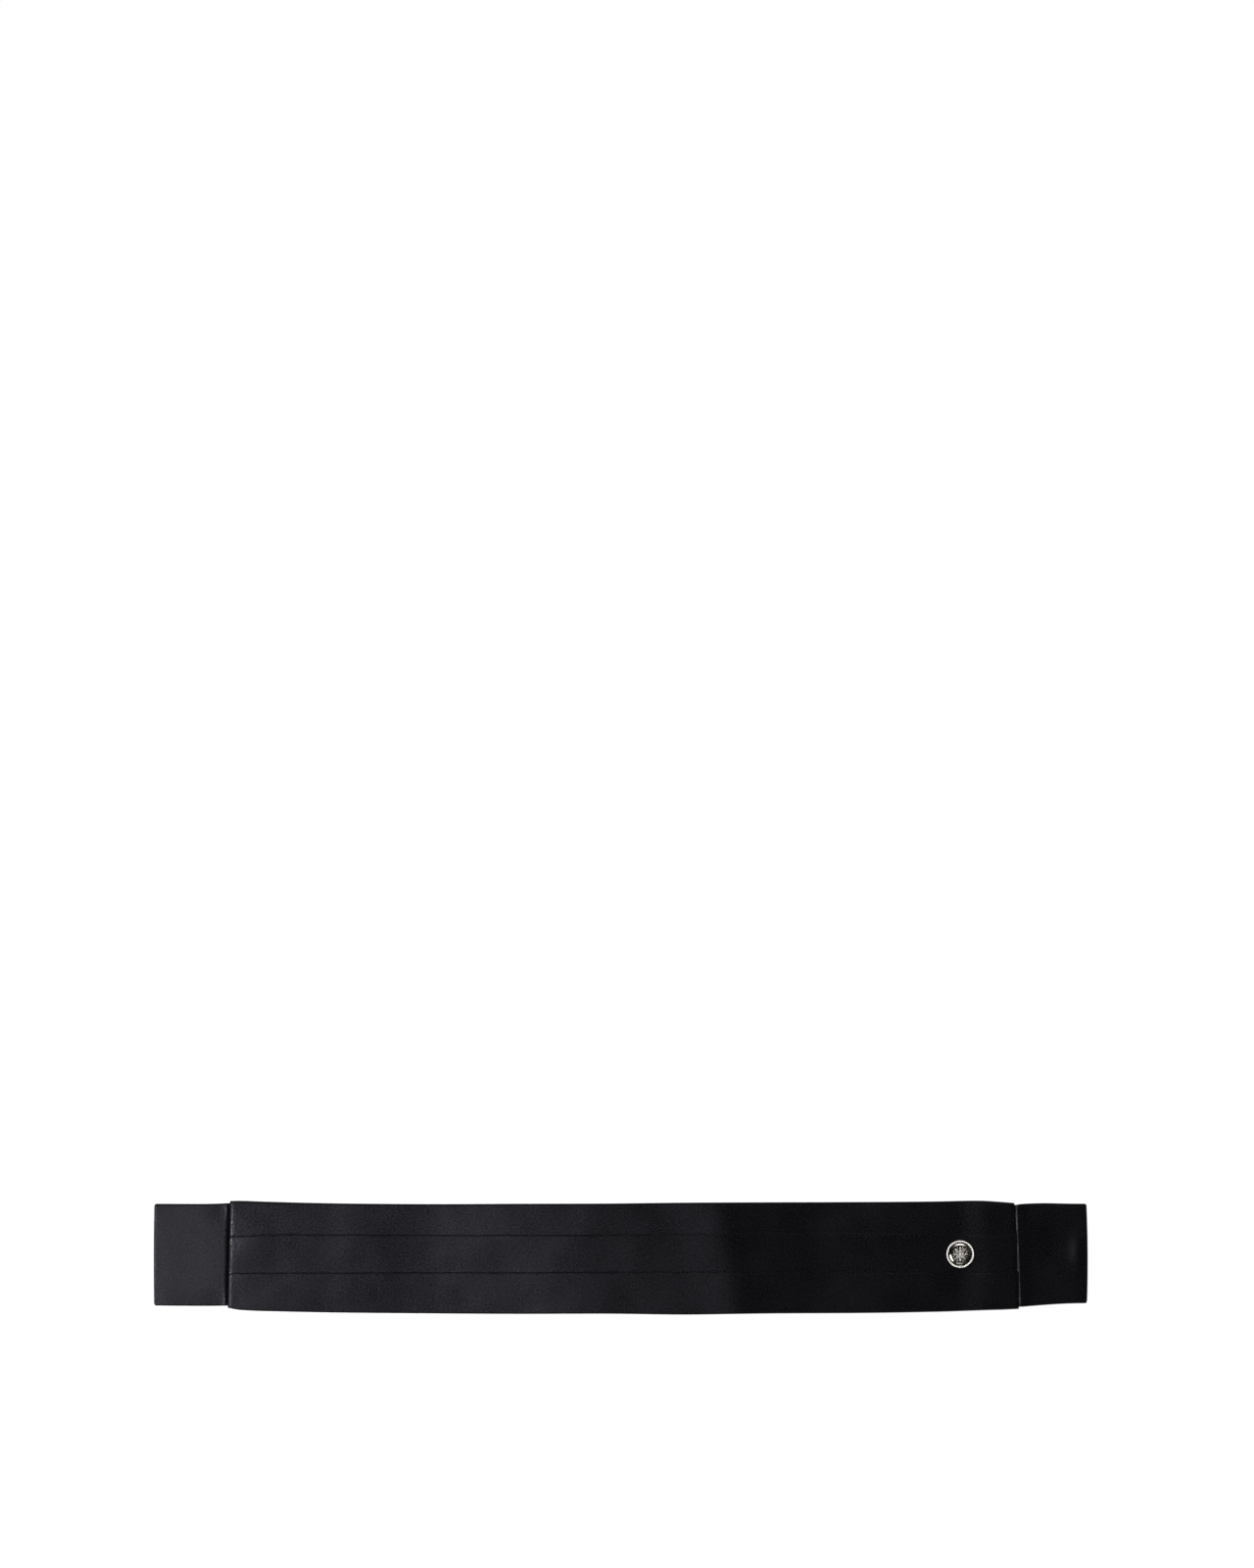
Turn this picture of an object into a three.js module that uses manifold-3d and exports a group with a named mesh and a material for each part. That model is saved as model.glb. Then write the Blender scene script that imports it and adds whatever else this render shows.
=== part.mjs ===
// A pleated satin cummerbund, lying open on its back with the ends of its two bands folded behind it.
// Millimetres. +X runs along it, +Y to its upper edge, and +Z off the surface that it lies on.

import * as THREE from "three";
import { mergeVertices } from "three/addons/utils/BufferGeometryUtils.js";
import Module from "manifold-3d";

const wasm = await Module();
wasm.setup();

// Pleated panel: a flat sleeve of satin, with three pleats across its front that open upwards
const panelLength = 683;
const topPleatShows = 27;
const middlePleatShows = 32.5;
const bottomPleatShows = 36.5;
const pleatDepth = 12; // how far each pleat is tucked under the one below it
const cloth = 1; // satin with its interlining
const layerGap = 0.3; // between the layers of a pleat
const hollow = 0.5; // free height inside the sleeve, away from the bands
const edgeRound = 1.1; // how far the upper and lower edges take to turn over
const seamCaught = 5; // length at each end over which the pleats are caught together
const lipLength = 2.5; // length over which each end of the front rolls down
const lipDrop = 0.6;
const lipThin = 0.4; // how much thinner the cloth's own end is, for its rounding
const settleLength = 60; // over which the panel comes down from the bands to the surface

// Bands: one into each end of the panel, out past it, and folded back beneath it
const bandCloth = 1.2; // a turned band, two thicknesses of satin
const bandGap = 0.3; // clearance round a band, inside the panel and beneath it
const bandShy = 0.8; // from a band's edge to the inside of the panel's edge
const bandEdge = 0.4; // width over which a band's long edges are rounded
const bandInsert = 14; // length inside the panel
const foldInside = 1.3; // height of the space inside the fold
const foldCorner = 1.6; // how much each corner of the fold rounds off
const leftReach = 65;
const leftReturn = 88; // length that lies beneath the panel
const leftTipWidth = 60;
const rightReach = 61;
const rightReturn = 88;
const rightTipWidth = 60;

// Closure at the hidden ends of the bands
const hookWidth = 12;
const hookSheet = 0.5;
const hookOnBand = 12;
const hookPastTip = 6;
const hookMouth = 1; // between the bill's end and the band's tip
const billAboveFloor = 0.2;
const barWidth = 16;
const barLength = 9;
const barPastTip = 4.5;
const barWire = 1.8;
const barSheet = 0.6;
const barCorner = 1.6;

// Button: a cast shell with a ring of enamel round a raised rosette
const buttonDiameter = 23.8;
const buttonFromEnd = 49; // from the panel's right end to the button's middle
const buttonBelowFold = 17.6; // from the middle pleat's folded edge to the button's middle
const rimWidth = 1.4;
const rimHeight = 2.8;
const grooveWidth = 1.2;
const grooveDepth = 0.9;
const bezelWidth = 1.9; // the raised ring round the enamel
const bezelHeight = 3.2;
const enamelThick = 0.5;
const enamelCrown = 0.35; // how much the enamel rises to its middle
const petalCount = 8;
const petalWidth = 2;
const enamelMargin = 0.3; // width of enamel left outside the petals' tips
const reliefHeight = 0.7; // above the enamel's middle
const bossRadius = 1.4;
const beadRadius = 0.62;
const shankRadius = 1.5;
const shankFoot = 3.2;
const shankFootThick = 0.6;
const shankIntoBack = 0.5;
const inlayGap = 0.2; // between the enamel and the metal round it
const pieceGap = 0.3; // between a piece and what it is seated on

// Levels and places that follow from the sizes above
const panelHeight = topPleatShows + middlePleatShows + bottomPleatShows;
const pitch = cloth + layerGap; // between the middles of two layers of a pleat
const foldTurn = pitch / 2; // radius of a pleat's fold, at the middle of its cloth
const leftEnd = -panelLength / 2;
const rightEnd = panelLength / 2;
const openHollow = bandCloth + 2 * bandGap + lipDrop;
const hookTop = bandCloth + pieceGap + hookSheet;
const barTop = bandCloth + pieceGap + barSheet;

// The panel's outline: each row is a section, at a share of the length. The other columns are how far its
// edges and folds lie above their plain lines, as shares of the height, and how far the section leans in X
// for each unit of Y.
const panelRows = [
  { along: 0.0, top: 0.024, upper: -0.015, lower: -0.011, bottom: 0.055, lean: 0.022 },
  { along: 0.012, top: 0.026, upper: -0.013, lower: -0.008, bottom: 0.038, lean: 0.018 },
  { along: 0.03, top: 0.022, upper: -0.006, lower: -0.005, bottom: 0.029, lean: 0.01 },
  { along: 0.06, top: 0.015, upper: 0.003, lower: -0.004, bottom: 0.023, lean: 0.004 },
  { along: 0.13, top: 0.003, upper: 0.002, lower: -0.004, bottom: 0.013, lean: 0 },
  { along: 0.25, top: -0.005, upper: -0.004, lower: -0.003, bottom: 0.004, lean: 0 },
  { along: 0.37, top: -0.002, upper: -0.004, lower: -0.003, bottom: -0.001, lean: 0 },
  { along: 0.48, top: 0.0, upper: -0.003, lower: 0.002, bottom: 0.001, lean: 0 },
  { along: 0.58, top: 0.008, upper: 0.004, lower: 0.004, bottom: -0.007, lean: 0 },
  { along: 0.68, top: 0.011, upper: 0.014, lower: 0.004, bottom: 0.003, lean: 0 },
  { along: 0.8, top: 0.014, upper: 0.016, lower: 0.004, bottom: 0.008, lean: 0 },
  { along: 0.9, top: 0.02, upper: 0.012, lower: 0.004, bottom: 0.02, lean: -0.004 },
  { along: 0.955, top: 0.027, upper: 0.006, lower: 0.004, bottom: 0.033, lean: -0.016 },
  { along: 0.985, top: 0.015, upper: 0.0, lower: 0.0, bottom: 0.04, lean: -0.032 },
  { along: 1.0, top: 0.006, upper: 0.0, lower: 0.0, bottom: 0.046, lean: -0.042 },
];

// Each band's outline where it shows: how far its edges lie above where they leave the panel, as shares of
// its width there, at a share of its reach.
const leftBandRows = [
  { out: 0, top: 0, bottom: 0 },
  { out: 0.3, top: -0.008, bottom: -0.002 },
  { out: 1, top: -0.007, bottom: 0.001 },
];
const rightBandRows = [
  { out: 0, top: 0, bottom: 0 },
  { out: 0.4, top: 0.012, bottom: 0.018 },
  { out: 0.7, top: 0.006, bottom: 0.03 },
  { out: 1, top: 0.003, bottom: 0.034 },
];

// Soft dents and swells of the bands where they show: the middle as shares of the reach and the width, the
// size as shares of the same, and the rise as a share of the space inside the fold.
const leftDents = [
  { out: 0.3, across: 0.36, rise: -0.4, long: 0.2, wide: 0.1 },
  { out: 0.22, across: 0.12, rise: 0.25, long: 0.22, wide: 0.16 },
  { out: 0.8, across: -0.2, rise: -0.35, long: 0.16, wide: 0.2 },
];
const rightDents = [
  { out: 0.84, across: 0.04, rise: 0.35, long: 0.14, wide: 0.14 },
  { out: 0.35, across: 0.4, rise: 0.3, long: 0.25, wide: 0.08 },
  { out: 0.5, across: -0.1, rise: -0.35, long: 0.22, wide: 0.3 },
];

// Steps that each rounding is drawn in
const foldSteps = 3;
const edgeSteps = 4;

const finishes = {
  satin: { color: 0x17171a, roughness: 0.42, metalness: 0 },
  bandSatin: { color: 0x1b1b1f, roughness: 0.38, metalness: 0 },
  silver: { color: 0xd9d5cc, roughness: 0.2, metalness: 1 },
  enamel: { color: 0x0d0d0e, roughness: 0.15, metalness: 0 },
  steel: { color: 0x8e9094, roughness: 0.35, metalness: 1 },
};

// One smooth curve through a named column of a table.
function columnOf(rows, place, column) {
  const places = rows.map((row) => row[place]);
  const values = rows.map((row) => row[column]);
  const curve = new THREE.CubicInterpolant(places, values, 1);
  return (at) => curve.evaluate(THREE.MathUtils.clamp(at, places[0], places.at(-1)))[0];
}

const ease = (at, from, to) => THREE.MathUtils.smoothstep(at, from, to);

// A closed mesh from rings of points, each ring joined to the next. A sleeve's last ring joins its first;
// otherwise each end is capped by joining a ring's points across, first to last.
function meshOfRings(rings, isSleeve) {
  const count = rings[0].length;
  const triangles = [];
  const quad = (a, b, c, d) => triangles.push(a, b, c, a, c, d);
  for (let ring = 0; ring < rings.length - (isSleeve ? 0 : 1); ring++) {
    const next = (ring + 1) % rings.length;
    for (let i = 0; i < count; i++) {
      const j = (i + 1) % count;
      quad(ring * count + i, ring * count + j, next * count + j, next * count + i);
    }
  }
  if (!isSleeve) {
    const last = (rings.length - 1) * count;
    for (let i = 0; i < count / 2 - 1; i++) {
      quad(i, count - 1 - i, count - 2 - i, i + 1);
      quad(last + i, last + i + 1, last + count - 2 - i, last + count - 1 - i);
    }
  }
  const made = new THREE.BufferGeometry().setFromPoints(rings.flat());
  made.setIndex(triangles);
  return facingOut(made);
}

// Six times the volume that an indexed mesh encloses, negative if its faces point inwards.
function sixVolumes(made) {
  const corner = (i) => new THREE.Vector3().fromBufferAttribute(made.attributes.position, made.index.getX(i));
  let sum = 0;
  for (let i = 0; i < made.index.count; i += 3) sum += corner(i).dot(corner(i + 1).cross(corner(i + 2)));
  return sum;
}

function facingOut(made) {
  if (sixVolumes(made) < 0) made.setIndex(Array.from(made.index.array).reverse());
  return made;
}

function solidOf(geometry) {
  const bare = new THREE.BufferGeometry();
  bare.setAttribute("position", geometry.getAttribute("position"));
  bare.setIndex(geometry.index);
  const merged = facingOut(mergeVertices(bare, 1e-4));
  const vertProperties = new Float32Array(merged.attributes.position.array);
  const triVerts = new Uint32Array(merged.index.array);
  return new wasm.Manifold(new wasm.Mesh({ numProp: 3, vertProperties, triVerts }));
}

function geometryOf(solid) {
  const mesh = solid.getMesh();
  const made = new THREE.BufferGeometry();
  made.setAttribute("position", new THREE.BufferAttribute(new Float32Array(mesh.vertProperties), 3));
  made.setIndex(new THREE.BufferAttribute(new Uint32Array(mesh.triVerts), 1));
  return made;
}

function named(name, geometry, finish) {
  const faceted = geometry.index ? geometry.toNonIndexed() : geometry;
  faceted.computeVertexNormals();
  const mesh = new THREE.Mesh(faceted, new THREE.MeshStandardMaterial(finishes[finish]));
  mesh.name = name;
  return mesh;
}

// How high a band's closure holds the panel up, and how the panel comes down from it. The distance is from
// the panel's end.
function liftBeside(distance, returnLength, closureTop, onBand, pastTip) {
  const atEnd = bandCloth + bandGap;
  const atTip = Math.max(atEnd, closureTop + bandGap);
  const clear = returnLength + pastTip + 2 * lipLength;
  const risen = ease(distance, bandInsert + 2 * lipLength, returnLength - onBand - lipLength);
  return (atEnd + (atTip - atEnd) * risen) * (1 - ease(distance, clear, clear + settleLength));
}

function liftAt(x) {
  const left = liftBeside(x - leftEnd, leftReturn, hookTop, hookOnBand, hookPastTip);
  const right = liftBeside(rightEnd - x, rightReturn, barTop, barLength - barPastTip, barPastTip);
  return Math.max(left, right);
}

// Free height inside the sleeve: wide enough for a band at each end, closing again inwards of it, and
// rolled down at the lip.
function hollowAt(x) {
  const fromEnd = Math.max(0, Math.min(x - leftEnd, rightEnd - x));
  const inner = ease(fromEnd, bandInsert + lipLength, 2 * bandInsert + lipLength);
  const open = openHollow + (hollow - openHollow) * inner;
  const rolled = 1 - Math.min(1, fromEnd / lipLength);
  return open - lipDrop * (1 - Math.sqrt(1 - rolled * rolled));
}

const panelTop = columnOf(panelRows, "along", "top");
const panelUpper = columnOf(panelRows, "along", "upper");
const panelLower = columnOf(panelRows, "along", "lower");
const panelBottom = columnOf(panelRows, "along", "bottom");
const panelLean = columnOf(panelRows, "along", "lean");

// The lines that cross the panel at one place along it.
function sectionAt(x) {
  const along = (x - leftEnd) / panelLength;
  const top = panelHeight / 2;
  return {
    x,
    lean: panelLean(along),
    lift: liftAt(x),
    hollow: hollowAt(x),
    top: top + panelTop(along) * panelHeight,
    upper: top - topPleatShows + panelUpper(along) * panelHeight,
    lower: top - topPleatShows - middlePleatShows + panelLower(along) * panelHeight,
    bottom: -top + panelBottom(along) * panelHeight,
  };
}

// Heights of the middle of the cloth in a section: its back, and the first, second and third layers of
// its front.
function levelsOf(section) {
  const back = section.lift + cloth / 2;
  const first = back + cloth + section.hollow;
  return { back, first, second: first + pitch, third: first + 2 * pitch };
}

// Half a turn of the cloth, as points on the middle of its thickness.
function turn(y, z, reachY, reachZ, from, to, steps) {
  const points = [];
  for (let i = 0; i <= steps; i++) {
    const angle = from + ((to - from) * i) / steps;
    points.push(new THREE.Vector2(y + reachY * Math.cos(angle), z + reachZ * Math.sin(angle)));
  }
  return points;
}

// A pleat from where the layer above it tucks under, round its two folds, and down its face to the end of
// the slope, where it lies at the first level again.
function pleatPath(fold, levels, shows) {
  const half = Math.PI / 2;
  const tucked = fold - pleatDepth + cloth / 2 + foldTurn;
  const edge = fold - cloth / 2 - foldTurn;
  const slopeFrom = pleatDepth + layerGap + cloth / 2;
  const slopeTo = shows - 2 * cloth;
  const face = [0, 1 / 3, 2 / 3, 1].map((share) => {
    const down = THREE.MathUtils.lerp(slopeFrom, slopeTo, share);
    return new THREE.Vector2(fold - down, levels.third - (levels.third - levels.first) * ease(share, 0, 1));
  });
  return [
    ...turn(tucked, levels.first + foldTurn, foldTurn, foldTurn, -half, -3 * half, foldSteps),
    ...turn(edge, levels.second + foldTurn, foldTurn, foldTurn, -half, half, foldSteps),
    ...face,
  ];
}

// The middle of the cloth all the way round a section: up the back, over the upper edge, down the front
// with its two tucked pleats, and round the lower edge.
function clothPath(section) {
  const levels = levelsOf(section);
  const half = Math.PI / 2;
  const middle = (levels.back + levels.first) / 2;
  const round = (levels.first - levels.back) / 2;
  const topTurn = section.top - cloth / 2 - edgeRound;
  const bottomTurn = section.bottom + cloth / 2 + edgeRound;
  const back = [1 / 3, 2 / 3].map(
    (share) => new THREE.Vector2(THREE.MathUtils.lerp(bottomTurn, topTurn, share), levels.back),
  );
  return [
    ...back,
    ...turn(topTurn, middle, edgeRound, round, -half, half, edgeSteps),
    new THREE.Vector2((section.top + section.upper) / 2, levels.first),
    new THREE.Vector2(section.upper, levels.first),
    ...pleatPath(section.upper, levels, section.upper - section.lower),
    ...pleatPath(section.lower, levels, section.lower - section.bottom),
    ...turn(bottomTurn, middle, edgeRound, round, half, 3 * half, edgeSteps),
  ];
}

const sharpestMiter = 0.7; // a corner's offset grows no more than one over this

// The path moved sideways by a distance, to the outer face if it is positive.
function offsetPath(path, distance) {
  return path.map((point, i) => {
    const before = path[(i + path.length - 1) % path.length];
    const after = path[(i + 1) % path.length];
    const into = point.clone().sub(before).normalize();
    const away = after.clone().sub(point).normalize();
    const along = into.clone().add(away).normalize();
    const miter = 1 / Math.max(sharpestMiter, along.dot(into));
    return new THREE.Vector2(point.x + along.y * distance * miter, point.y - along.x * distance * miter);
  });
}

function placed(section, points) {
  return points.map((p) => new THREE.Vector3(section.x + section.lean * p.x, p.x, p.y));
}

const seamInset = 0.4; // where the seam starts, as a share of the lip

// Places along the panel that need a section of their own: close together at the lips, at the ends of the
// bands, and at each row of the outline.
function panelStations() {
  const fromEnd = [0, 0.12, seamInset, 1].map((share) => share * lipLength);
  const inward = [
    seamCaught,
    seamCaught + lipLength,
    bandInsert + lipLength,
    1.5 * bandInsert + lipLength,
    2 * bandInsert + lipLength,
  ];
  const leftClear = leftReturn + hookPastTip + 2 * lipLength;
  const rightClear = rightReturn + barPastTip + 2 * lipLength;
  const descent = [0, 1 / 3, 2 / 3, 1].map((share) => share * settleLength);
  const places = [
    ...[...fromEnd, ...inward].flatMap((d) => [leftEnd + d, rightEnd - d]),
    ...descent.flatMap((d) => [leftEnd + leftClear + d, rightEnd - rightClear - d]),
    ...panelRows.map((row) => leftEnd + row.along * panelLength),
  ].sort((a, b) => a - b);
  return places.filter((x, i) => i === 0 || x - places[i - 1] > 1e-3);
}

// Where the pleats are caught together in an end seam: a bar through the layers, clear of the cloth's faces.
function seamBar(stations, fold) {
  const rings = stations.map((x) => {
    const section = sectionAt(x);
    const levels = levelsOf(section);
    const low = section[fold] - pleatDepth + cloth;
    const high = section[fold] - cloth;
    const corners = [
      [low, levels.first],
      [high, levels.first],
      [high, levels.third],
      [low, levels.third],
    ];
    return placed(section, corners.map(([y, z]) => new THREE.Vector2(y, z)));
  });
  return solidOf(meshOfRings(rings, false));
}

function pleatedSleeve() {
  const stations = panelStations();
  const outer = [];
  const inner = [];
  for (const x of stations) {
    const section = sectionAt(x);
    const path = clothPath(section);
    const isEnd = x === stations[0] || x === stations.at(-1);
    const thick = isEnd ? cloth - lipThin : cloth;
    outer.push(placed(section, offsetPath(path, thick / 2)));
    inner.unshift(placed(section, offsetPath(path, -thick / 2)));
  }
  let made = solidOf(meshOfRings([...outer, ...inner], true));
  const isInSeam = (fromEnd) => fromEnd > seamInset * lipLength - 1e-6 && fromEnd < seamCaught + 1e-6;
  const seams = [
    stations.filter((x) => isInSeam(x - leftEnd)),
    stations.filter((x) => isInSeam(rightEnd - x)),
  ];
  for (const seam of seams) for (const fold of ["upper", "lower"]) made = made.add(seamBar(seam, fold));
  return made;
}

// A band's run seen from the side: out of the panel, round its fold, and back beneath the panel. Out is the
// distance past the panel's end.
function bandRun(side) {
  const atEnd = bandCloth + bandGap + cloth + bandGap + bandCloth / 2;
  const turned = (foldInside + bandCloth) / 2;
  const foldStart = side.reach - turned - bandCloth / 2;
  const foldTop = bandCloth / 2 + 2 * turned;
  const run = [];
  for (const out of [-bandInsert, -bandInsert / 2, -lipLength, 0]) {
    run.push({ out, z: atEnd, facing: 0, part: "inside" });
  }
  for (let i = 1; i <= 10; i++) {
    const share = i / 10;
    const z = THREE.MathUtils.lerp(atEnd, foldTop, ease(share, 0, 1));
    run.push({ out: share * foldStart, z, facing: 0, part: "shown" });
  }
  for (let i = 1; i <= 7; i++) {
    const angle = (Math.PI * i) / 8;
    const out = foldStart + turned * Math.sin(angle);
    const z = bandCloth / 2 + turned + turned * Math.cos(angle);
    run.push({ out, z, facing: angle, part: "fold" });
  }
  for (const share of [0, 0.1, 0.5, 1]) {
    const out = THREE.MathUtils.lerp(foldStart, -side.returns, share);
    run.push({ out, z: bandCloth / 2, facing: Math.PI, part: "return", share });
  }
  return run;
}

const acrossShares = [-0.5, -0.47, -0.36, -0.2, 0, 0.2, 0.36, 0.47, 0.5];

function bandGeometry(side) {
  const section = sectionAt(side.end);
  const entryTop = section.top - cloth - bandShy;
  const entryBottom = section.bottom + cloth + bandShy;
  const width = entryTop - entryBottom;
  const topOf = columnOf(side.rows, "out", "top");
  const bottomOf = columnOf(side.rows, "out", "bottom");
  const foldTop = entryTop + topOf(1) * width;
  const foldBottom = entryBottom + bottomOf(1) * width;
  const foldMiddle = (foldTop + foldBottom) / 2;
  const rings = bandRun(side).map((at) => {
    const share = Math.max(0, at.out) / side.reach;
    let top = entryTop + topOf(share) * width;
    let bottom = entryBottom + bottomOf(share) * width;
    if (at.part === "inside") {
      const inside = -at.out / bandInsert;
      top -= bandShy * inside;
      bottom += bandShy * inside;
    }
    if (at.part === "fold") {
      const round = foldCorner * Math.sin(at.facing) ** 2;
      top = foldTop - round;
      bottom = foldBottom + round;
    }
    if (at.part === "return") {
      top = THREE.MathUtils.lerp(foldTop, foldMiddle + side.tipWidth / 2, at.share);
      bottom = THREE.MathUtils.lerp(foldBottom, foldMiddle - side.tipWidth / 2, at.share);
    }
    const lean = at.part === "return" ? 0 : section.lean * (1 - Math.min(1, share * 3));
    const point = (across, y, half) => {
      const dent = at.part === "shown" ? dentAt(side, at.out, across) : 0;
      const out = at.out + half * Math.sin(at.facing);
      return new THREE.Vector3(side.sign * out + lean * y, y, at.z + dent + half * Math.cos(at.facing));
    };
    const face = (shares, half) => shares.map((across) => {
      return point(across, THREE.MathUtils.lerp(bottom + bandEdge, top - bandEdge, across + 0.5), half);
    });
    return [
      point(-0.5, bottom, 0),
      ...face(acrossShares, bandCloth / 2),
      point(0.5, top, 0),
      ...face(acrossShares.toReversed(), -bandCloth / 2),
    ];
  });
  return meshOfRings(rings, false);
}

function dentAt(side, out, across) {
  const share = out / side.reach;
  const held = ease(share, 0, 0.12) * (1 - ease(share, 0.9, 1));
  const sum = side.dents.reduce((total, dent) => {
    const far = ((share - dent.out) / dent.long) ** 2 + ((across - dent.across) / dent.wide) ** 2;
    return total + dent.rise * Math.exp(-far);
  }, 0);
  return sum * foldInside * held;
}

const leftBand = {
  end: leftEnd,
  sign: -1,
  reach: leftReach,
  returns: leftReturn,
  tipWidth: leftTipWidth,
  rows: leftBandRows,
  dents: leftDents,
};
const rightBand = {
  end: rightEnd,
  sign: 1,
  reach: rightReach,
  returns: rightReturn,
  tipWidth: rightTipWidth,
  rows: rightBandRows,
  dents: rightDents,
};

// The middle of a band's hidden tip.
function tipOf(side) {
  const section = sectionAt(side.end);
  const width = section.top - section.bottom - 2 * (cloth + bandShy);
  const shift = (side.rows.at(-1).top + side.rows.at(-1).bottom) / 2;
  const y = (section.top + section.bottom) / 2 + shift * width;
  return new THREE.Vector3(side.end - side.sign * side.returns, y, 0);
}

// A flat hook: a plate on the band, bent down past its tip into a bill.
function hookGeometry() {
  const plate = bandCloth + pieceGap;
  const bend = (hookTop - billAboveFloor) / 2;
  const middle = billAboveFloor + bend;
  const far = hookPastTip - bend;
  const outline = new THREE.Shape();
  outline.moveTo(-hookOnBand, plate);
  outline.lineTo(far, plate);
  outline.absarc(far, middle, bend - hookSheet, Math.PI / 2, -Math.PI / 2, true);
  outline.lineTo(hookMouth, billAboveFloor + hookSheet);
  outline.lineTo(hookMouth, billAboveFloor);
  outline.lineTo(far, billAboveFloor);
  outline.absarc(far, middle, bend, -Math.PI / 2, Math.PI / 2, false);
  outline.lineTo(-hookOnBand, hookTop);
  const extrusion = { depth: hookWidth, bevelEnabled: false, curveSegments: 6 };
  const made = new THREE.ExtrudeGeometry(outline, extrusion);
  made.rotateX(Math.PI / 2);
  made.translate(0, hookWidth / 2, 0);
  return geometryOf(solidOf(made));
}

function roundedRectangle(Path, halfX, halfY, corner) {
  const path = new Path();
  path.absarc(halfX - corner, halfY - corner, corner, 0, Math.PI / 2, false);
  path.absarc(corner - halfX, halfY - corner, corner, Math.PI / 2, Math.PI, false);
  path.absarc(corner - halfX, corner - halfY, corner, Math.PI, 1.5 * Math.PI, false);
  path.absarc(halfX - corner, corner - halfY, corner, 1.5 * Math.PI, 2 * Math.PI, false);
  path.closePath();
  return path;
}

// A flat loop, sewn on so that half of it stands past the band's tip for the hook to catch.
function barGeometry() {
  const outline = roundedRectangle(THREE.Shape, barLength / 2, barWidth / 2, barCorner);
  const hole = roundedRectangle(THREE.Path, barLength / 2 - barWire, barWidth / 2 - barWire, barCorner / 2);
  outline.holes.push(hole);
  const made = new THREE.ExtrudeGeometry(outline, { depth: barSheet, bevelEnabled: false, curveSegments: 3 });
  made.translate(barLength / 2 - barPastTip, 0, bandCloth + pieceGap);
  return geometryOf(solidOf(made));
}

// Where the button sits: on the highest of the cloth beneath it, with its foot just off the sleeve's back.
const buttonX = rightEnd - buttonFromEnd;
const buttonRadius = buttonDiameter / 2;
const buttonY = sectionAt(buttonX).upper - buttonBelowFold;
const seatHeights = [-1, 0, 1].map((step) => levelsOf(sectionAt(buttonX + step * buttonRadius)).third);
const buttonSeat = Math.max(...seatHeights) + cloth / 2 + pieceGap;
const footHeights = [-1, 0, 1].map((step) => liftAt(buttonX + step * shankFoot));
const footBottom = Math.max(...footHeights) + cloth + pieceGap;

// Radii and heights of the button's rings, above its seat.
const grooveOuter = buttonRadius - rimWidth;
const bezelOuter = grooveOuter - grooveWidth;
const enamelSeat = bezelOuter - bezelWidth;
const enamelRadius = enamelSeat - inlayGap;
const petalTips = enamelRadius - enamelMargin - inlayGap;
const enamelBottom = bezelHeight - enamelThick - pieceGap;
const shellFloor = enamelBottom - pieceGap;
const enamelEdgeTop = enamelBottom + enamelThick;
const reliefTop = enamelEdgeTop + enamelCrown + reliefHeight;

function lathe(points, sides) {
  const made = new THREE.LatheGeometry(points.map(([r, z]) => new THREE.Vector2(r, z)), sides);
  made.rotateX(Math.PI / 2);
  return solidOf(made);
}

// An upright pin with an oval section, standing from just inside the shell's floor to above the relief.
function uprightPin(halfX, halfY, x, angle, sides) {
  const foot = shellFloor - pieceGap;
  const tall = reliefTop + pieceGap - foot;
  const pin = new THREE.CylinderGeometry(1, 1, tall, sides);
  pin.rotateX(Math.PI / 2);
  pin.scale(halfX, halfY, 1);
  pin.translate(x, 0, foot + tall / 2);
  pin.rotateZ(angle);
  return solidOf(pin);
}

// The dome that the rosette's top is cut to.
function reliefDome() {
  const rings = 5;
  const profile = [
    [0, 0],
    [enamelSeat, 0],
  ];
  for (let i = 0; i <= rings; i++) {
    const share = i / rings;
    const r = enamelSeat * (1 - share);
    profile.push([r, THREE.MathUtils.lerp(enamelEdgeTop + pieceGap / 2, reliefTop, Math.sqrt(share))]);
  }
  return lathe(profile, 24);
}

// Petals, a bead between each two, and a boss in the middle, each grown by a clearance where it is a cut.
function rosette(grow) {
  const petalHalf = (petalTips - bossRadius / 2) / 2;
  const parts = [uprightPin(bossRadius + grow, bossRadius + grow, 0, 0, 16)];
  for (let i = 0; i < petalCount; i++) {
    const angle = (2 * Math.PI * i) / petalCount;
    const between = angle + Math.PI / petalCount;
    parts.push(uprightPin(petalHalf + grow, petalWidth / 2 + grow, petalTips - petalHalf, angle, 14));
    parts.push(uprightPin(beadRadius + grow, beadRadius + grow, petalTips - beadRadius, between, 8));
  }
  return parts.reduce((sum, part) => sum.add(part));
}

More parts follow.
